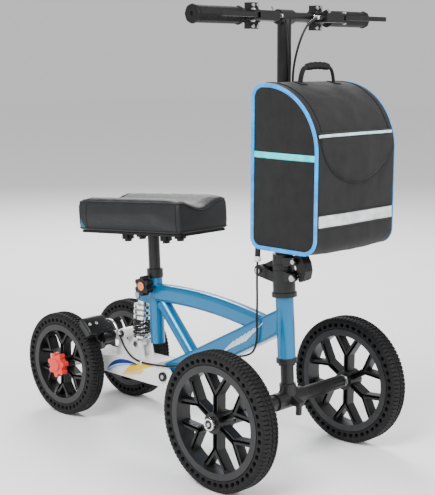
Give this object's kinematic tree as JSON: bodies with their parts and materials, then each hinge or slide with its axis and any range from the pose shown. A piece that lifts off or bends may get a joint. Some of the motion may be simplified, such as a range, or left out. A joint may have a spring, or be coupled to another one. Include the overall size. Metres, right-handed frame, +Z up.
{
  "type": "knee scooter",
  "caption": "Four-wheeled knee scooter with folding mast, sprung rear swing arm, height-adjustable knee pad, two hand brakes and a zipped front bag.",
  "frame": {"origin": "middle of the rectangle that the scooter covers, on the ground", "axes": "+X forwards, +Y to the rider's left, +Z up"},
  "size_m": [0.968, 0.562, 1.027],
  "materials": {
    "blue_paint": "gloss metallic",
    "white_paint": "gloss",
    "black_metal": "satin",
    "steel": "satin",
    "chrome": "polished",
    "black_plastic": "matt",
    "red_plastic": "gloss",
    "rim_plastic": "satin",
    "tyre": "matt",
    "grip_rubber": "matt",
    "cable_rubber": "satin",
    "vinyl": "satin",
    "bag_fabric": "matt",
    "board": "painted black"
  },
  "bodies": {
    "frame": {"head_tube": "blue_paint", "main_beam": "blue_paint", "arch_tube": "blue_paint", "brace_tube": "blue_paint", "seat_tube": "blue_paint", "pivot_bushes": "steel", "frame_bolts": "steel", "headset": "black_metal", "seat_collar": "black_metal", "beam_cable": "cable_rubber"},
    "steering": {"steerer": "black_metal", "front_axle_tube": "black_metal", "front_axle": "steel", "front_bearings": "steel", "fold_base": "black_metal", "fold_bolts": "steel", "hanging_cable": "cable_rubber"},
    "front_left_wheel": {"front_left_rim": "rim_plastic", "front_left_tyre": "tyre"},
    "front_right_wheel": {"front_right_rim": "rim_plastic", "front_right_tyre": "tyre"},
    "rear_left_wheel": {"rear_left_rim": "rim_plastic", "rear_left_tyre": "tyre"},
    "rear_right_wheel": {"rear_right_rim": "rim_plastic", "rear_right_tyre": "tyre"},
    "mast": {"fold_head": "black_metal", "lower_mast": "black_metal", "height_clamp": "black_metal", "mast_bolts": "steel", "bag_shell": "bag_fabric", "bag_handle": "black_plastic", "bag_straps": "bag_fabric", "cable_sleeve": "cable_rubber"},
    "fold_latch": {"fold_latch": "black_plastic"},
    "clamp_lever": {"clamp_lever": "black_metal"},
    "handlebar": {"handlebar": "black_metal", "grips": "grip_rubber", "brackets": "black_metal", "handlebar_bolts": "steel", "parking_pins": "chrome", "upper_cables": "cable_rubber"},
    "left_brake_lever": {"left_brake_lever": "black_plastic"},
    "right_brake_lever": {"right_brake_lever": "black_plastic"},
    "seat": {"seat_post": "black_metal", "pad_board": "board", "knee_pad": "vinyl", "pad_knobs": "black_plastic"},
    "seat_knob": {"seat_knob": "black_plastic"},
    "swing_arm": {"swing_arm": "white_paint", "shock_foot_bolt": "steel", "rear_axle": "steel", "rear_bearings": "steel", "rear_knobs": "red_plastic", "brake_tube": "black_metal", "rear_cable": "cable_rubber"},
    "shock_body": {"shock_body": "chrome", "shock_spring": "black_metal"},
    "shock_rod": {"shock_rod": "chrome"},
    "left_brake_arm": {"left_brake_arm": "black_metal"},
    "right_brake_arm": {"right_brake_arm": "black_metal"}
  },
  "joints": [
    {"name": "steering_turn", "type": "hinge", "parent": "frame", "child": "steering", "pos_m": [0.304, 0, 0.1524], "axis": [-0.0628, 0, 0.998], "range_deg": [-35, 35], "deforming": ["hanging_cable"]},
    {"name": "front_left_spin", "type": "hinge", "parent": "steering", "child": "front_left_wheel", "pos_m": [0.304, 0.224, 0.1524], "axis": [0, 1, 0], "continuous": true},
    {"name": "front_right_spin", "type": "hinge", "parent": "steering", "child": "front_right_wheel", "pos_m": [0.304, -0.224, 0.1524], "axis": [0, 1, 0], "continuous": true},
    {"name": "swing_arm_pivot", "type": "hinge", "parent": "frame", "child": "swing_arm", "pos_m": [-0.066, 0, 0.137], "axis": [0, 1, 0], "range_deg": [0, 7], "stiffness_Nm_per_rad": 1400, "springref_deg": -1.72, "deforming": ["beam_cable"]},
    {"name": "rear_left_spin", "type": "hinge", "parent": "swing_arm", "child": "rear_left_wheel", "pos_m": [-0.352, 0.1125, 0.132], "axis": [0, 1, 0], "continuous": true},
    {"name": "rear_right_spin", "type": "hinge", "parent": "swing_arm", "child": "rear_right_wheel", "pos_m": [-0.352, -0.1125, 0.132], "axis": [0, 1, 0], "continuous": true},
    {"name": "shock_swing", "type": "hinge", "parent": "frame", "child": "shock_body", "pos_m": [-0.178, 0, 0.322], "axis": [0, 1, 0], "range_deg": [-3.8, 0]},
    {"name": "shock_rod_slide", "type": "slide", "parent": "shock_body", "child": "shock_rod", "axis": [0.0629, 0, 0.998], "range_m": [0, 0.0147], "deforming": ["shock_spring"]},
    {"name": "mast_fold", "type": "hinge", "parent": "steering", "child": "mast", "pos_m": [0.228, 0, 0.44], "axis": [0, -1, 0], "range_deg": [0, 50]},
    {"name": "fold_latch_turn", "type": "hinge", "parent": "mast", "child": "fold_latch", "pos_m": [0.331, 0, 0.473], "axis": [0, -1, 0], "range_deg": [0, 60]},
    {"name": "clamp_lever_turn", "type": "hinge", "parent": "mast", "child": "clamp_lever", "pos_m": [0.2493, 0, 0.74669], "axis": [0, 1, 0], "range_deg": [0, 90]},
    {"name": "handlebar_height", "type": "slide", "parent": "mast", "child": "handlebar", "axis": [-0.0099, 0, 1], "range_m": [-0.1, 0], "deforming": ["upper_cables"]},
    {"name": "left_brake_pull", "type": "hinge", "parent": "handlebar", "child": "left_brake_lever", "pos_m": [0.32378, 0.15, 1], "axis": [0, 0, 1], "range_deg": [0, 18], "stiffness_Nm_per_rad": 0.8, "springref_deg": -11.46},
    {"name": "right_brake_pull", "type": "hinge", "parent": "handlebar", "child": "right_brake_lever", "pos_m": [0.32378, -0.15, 1], "axis": [0, 0, -1], "range_deg": [0, 18], "stiffness_Nm_per_rad": 0.8, "springref_deg": -11.46},
    {"name": "left_brake_arm_turn", "type": "hinge", "parent": "swing_arm", "child": "left_brake_arm", "pos_m": [-0.241, 0.072, 0.212], "axis": [0, -1, 0], "range_deg": [0, 3.7]},
    {"name": "right_brake_arm_turn", "type": "hinge", "parent": "swing_arm", "child": "right_brake_arm", "pos_m": [-0.241, -0.072, 0.212], "axis": [0, -1, 0], "range_deg": [0, 3.7]},
    {"name": "seat_height", "type": "slide", "parent": "frame", "child": "seat", "axis": [-0.0523, 0, 0.9986], "range_m": [-0.06, 0]},
    {"name": "seat_knob_turn", "type": "hinge", "parent": "frame", "child": "seat_knob", "pos_m": [-0.13381, 0, 0.355], "axis": [0, -1, 0], "continuous": true}
  ],
  "couplings": [
    {"joint": "shock_swing", "follows": "swing_arm_pivot", "ratio": -0.5145},
    {"joint": "shock_rod_slide", "follows": "swing_arm_pivot", "m_per_rad": 0.1183},
    {"joint": "left_brake_arm_turn", "follows": "left_brake_pull", "ratio": 0.2},
    {"joint": "right_brake_arm_turn", "follows": "right_brake_pull", "ratio": 0.2}
  ]
}
